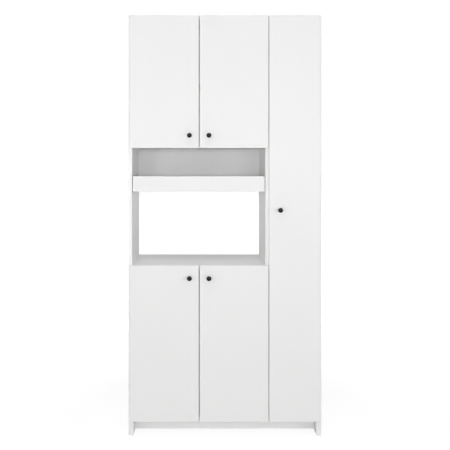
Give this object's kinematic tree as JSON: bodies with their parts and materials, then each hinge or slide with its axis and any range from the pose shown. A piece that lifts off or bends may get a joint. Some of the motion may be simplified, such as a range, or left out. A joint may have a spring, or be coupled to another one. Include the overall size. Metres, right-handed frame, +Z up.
{
  "type": "microwave cabinet",
  "caption": "Tall kitchen cabinet with an open microwave niche, a pull-out tray in it, slab doors on concealed hinges, round knobs and shelves behind the doors.",
  "frame": {"origin": "below the middle of the whole cabinet, knobs included, on the ground", "axes": "+X to the right seen from the front, +Y to the back, +Z up; the doors face -Y"},
  "size_m": [0.827, 0.424, 1.8],
  "materials": {
    "carcass_board": "white melamine-faced particleboard, satin",
    "front_board": "white foil-faced fibreboard, satin",
    "back_board": "thin fibreboard, printed white in front, bare behind",
    "tray_board": "white melamine-faced board",
    "rail_wood": "white-painted softwood rail",
    "base_paint": "white-painted wood, satin",
    "knob_black": "smooth black",
    "hinge_steel": "nickel-plated pressed steel",
    "slide_steel": "white powder-coated steel",
    "clip_steel": "zinc-plated steel",
    "block_plastic": "white moulded plastic",
    "pad_rubber": "soft translucent elastomer"
  },
  "bodies": {
    "carcass": {"upper_back_panel": "back_board", "lower_back_panel": "back_board", "tall_back_panel": "back_board", "wall_rail": "rail_wood", "tray_rail": "rail_wood", "left_side_panel": "carcass_board", "right_side_panel": "carcass_board", "centre_divider": "carcass_board", "top_panel": "carcass_board", "bottom_panel": "carcass_board", "niche_floor": "carcass_board", "upper_cabinet_floor": "carcass_board", "front_left_foot": "base_paint", "front_right_foot": "base_paint", "rear_left_foot": "base_paint", "rear_right_foot": "base_paint", "kick_board": "base_paint", "upper_shelf": "carcass_board", "lower_shelf": "carcass_board", "tall_shelf_1": "carcass_board", "tall_shelf_2": "carcass_board", "tall_shelf_3": "carcass_board", "tall_shelf_4": "carcass_board", "shelf_clips": "clip_steel", "corner_blocks": "block_plastic", "hinge_arms": "hinge_steel", "hinge_plates": "hinge_steel", "door_pads": "pad_rubber", "tray_slides_fixed": "slide_steel"},
    "upper_left_door": {"upper_left_door": "front_board", "upper_left_hinge_cups": "hinge_steel", "upper_left_knob": "knob_black"},
    "upper_left_hinge_links": {"upper_left_hinge_links": "hinge_steel"},
    "upper_right_door": {"upper_right_door": "front_board", "upper_right_hinge_cups": "hinge_steel", "upper_right_knob": "knob_black"},
    "upper_right_hinge_links": {"upper_right_hinge_links": "hinge_steel"},
    "lower_left_door": {"lower_left_door": "front_board", "lower_left_hinge_cups": "hinge_steel", "lower_left_knob": "knob_black"},
    "lower_left_hinge_links": {"lower_left_hinge_links": "hinge_steel"},
    "lower_right_door": {"lower_right_door": "front_board", "lower_right_hinge_cups": "hinge_steel", "lower_right_knob": "knob_black"},
    "lower_right_hinge_links": {"lower_right_hinge_links": "hinge_steel"},
    "tall_door": {"tall_door": "front_board", "tall_hinge_cups": "hinge_steel", "tall_knob": "knob_black"},
    "tall_hinge_links": {"tall_hinge_links": "hinge_steel"},
    "tray": {"tray_front": "front_board", "tray_left_side": "tray_board", "tray_right_side": "tray_board", "tray_back": "tray_board", "tray_bottom": "back_board", "tray_slides_moving": "slide_steel"},
    "tray_slides_middle": {"tray_slides_middle": "slide_steel"}
  },
  "joints": [
    {"name": "upper_left_door_hinge", "type": "hinge", "parent": "carcass", "child": "upper_left_door", "pos_m": [-0.4023, -0.184, 1.517], "axis": [0, 0, -1], "range_deg": [0, 110]},
    {"name": "upper_left_link_pivot", "type": "hinge", "parent": "carcass", "child": "upper_left_hinge_links", "pos_m": [-0.3918, -0.174, 1.517], "axis": [0, 0, -1], "range_deg": [0, 99.5]},
    {"name": "upper_right_door_hinge", "type": "hinge", "parent": "carcass", "child": "upper_right_door", "pos_m": [0.1815, -0.184, 1.517], "axis": [0, 0, 1], "range_deg": [0, 110]},
    {"name": "upper_right_link_pivot", "type": "hinge", "parent": "carcass", "child": "upper_right_hinge_links", "pos_m": [0.171, -0.174, 1.517], "axis": [0, 0, 1], "range_deg": [0, 99.5]},
    {"name": "lower_left_door_hinge", "type": "hinge", "parent": "carcass", "child": "lower_left_door", "pos_m": [-0.4023, -0.184, 0.39915], "axis": [0, 0, -1], "range_deg": [0, 110]},
    {"name": "lower_left_link_pivot", "type": "hinge", "parent": "carcass", "child": "lower_left_hinge_links", "pos_m": [-0.3918, -0.174, 0.39915], "axis": [0, 0, -1], "range_deg": [0, 99.5]},
    {"name": "lower_right_door_hinge", "type": "hinge", "parent": "carcass", "child": "lower_right_door", "pos_m": [0.1815, -0.184, 0.39915], "axis": [0, 0, 1], "range_deg": [0, 110]},
    {"name": "lower_right_link_pivot", "type": "hinge", "parent": "carcass", "child": "lower_right_hinge_links", "pos_m": [0.171, -0.174, 0.39915], "axis": [0, 0, 1], "range_deg": [0, 99.5]},
    {"name": "tall_door_hinge", "type": "hinge", "parent": "carcass", "child": "tall_door", "pos_m": [0.4023, -0.184, 0.93275], "axis": [0, 0, 1], "range_deg": [0, 110]},
    {"name": "tall_link_pivot", "type": "hinge", "parent": "carcass", "child": "tall_hinge_links", "pos_m": [0.3918, -0.174, 0.93275], "axis": [0, 0, 1], "range_deg": [0, 99.5]},
    {"name": "tray_slide", "type": "slide", "parent": "carcass", "child": "tray", "axis": [0, -1, 0], "range_m": [0, 0.26]},
    {"name": "tray_middle_slide", "type": "slide", "parent": "carcass", "child": "tray_slides_middle", "axis": [0, -1, 0], "range_m": [0, 0.131]}
  ],
  "couplings": [
    {"joint": "upper_left_link_pivot", "follows": "upper_left_door_hinge", "ratio": 0.9},
    {"joint": "upper_right_link_pivot", "follows": "upper_right_door_hinge", "ratio": 0.9},
    {"joint": "lower_left_link_pivot", "follows": "lower_left_door_hinge", "ratio": 0.9},
    {"joint": "lower_right_link_pivot", "follows": "lower_right_door_hinge", "ratio": 0.9},
    {"joint": "tall_link_pivot", "follows": "tall_door_hinge", "ratio": 0.9},
    {"joint": "tray_middle_slide", "follows": "tray_slide", "ratio": 0.5}
  ]
}
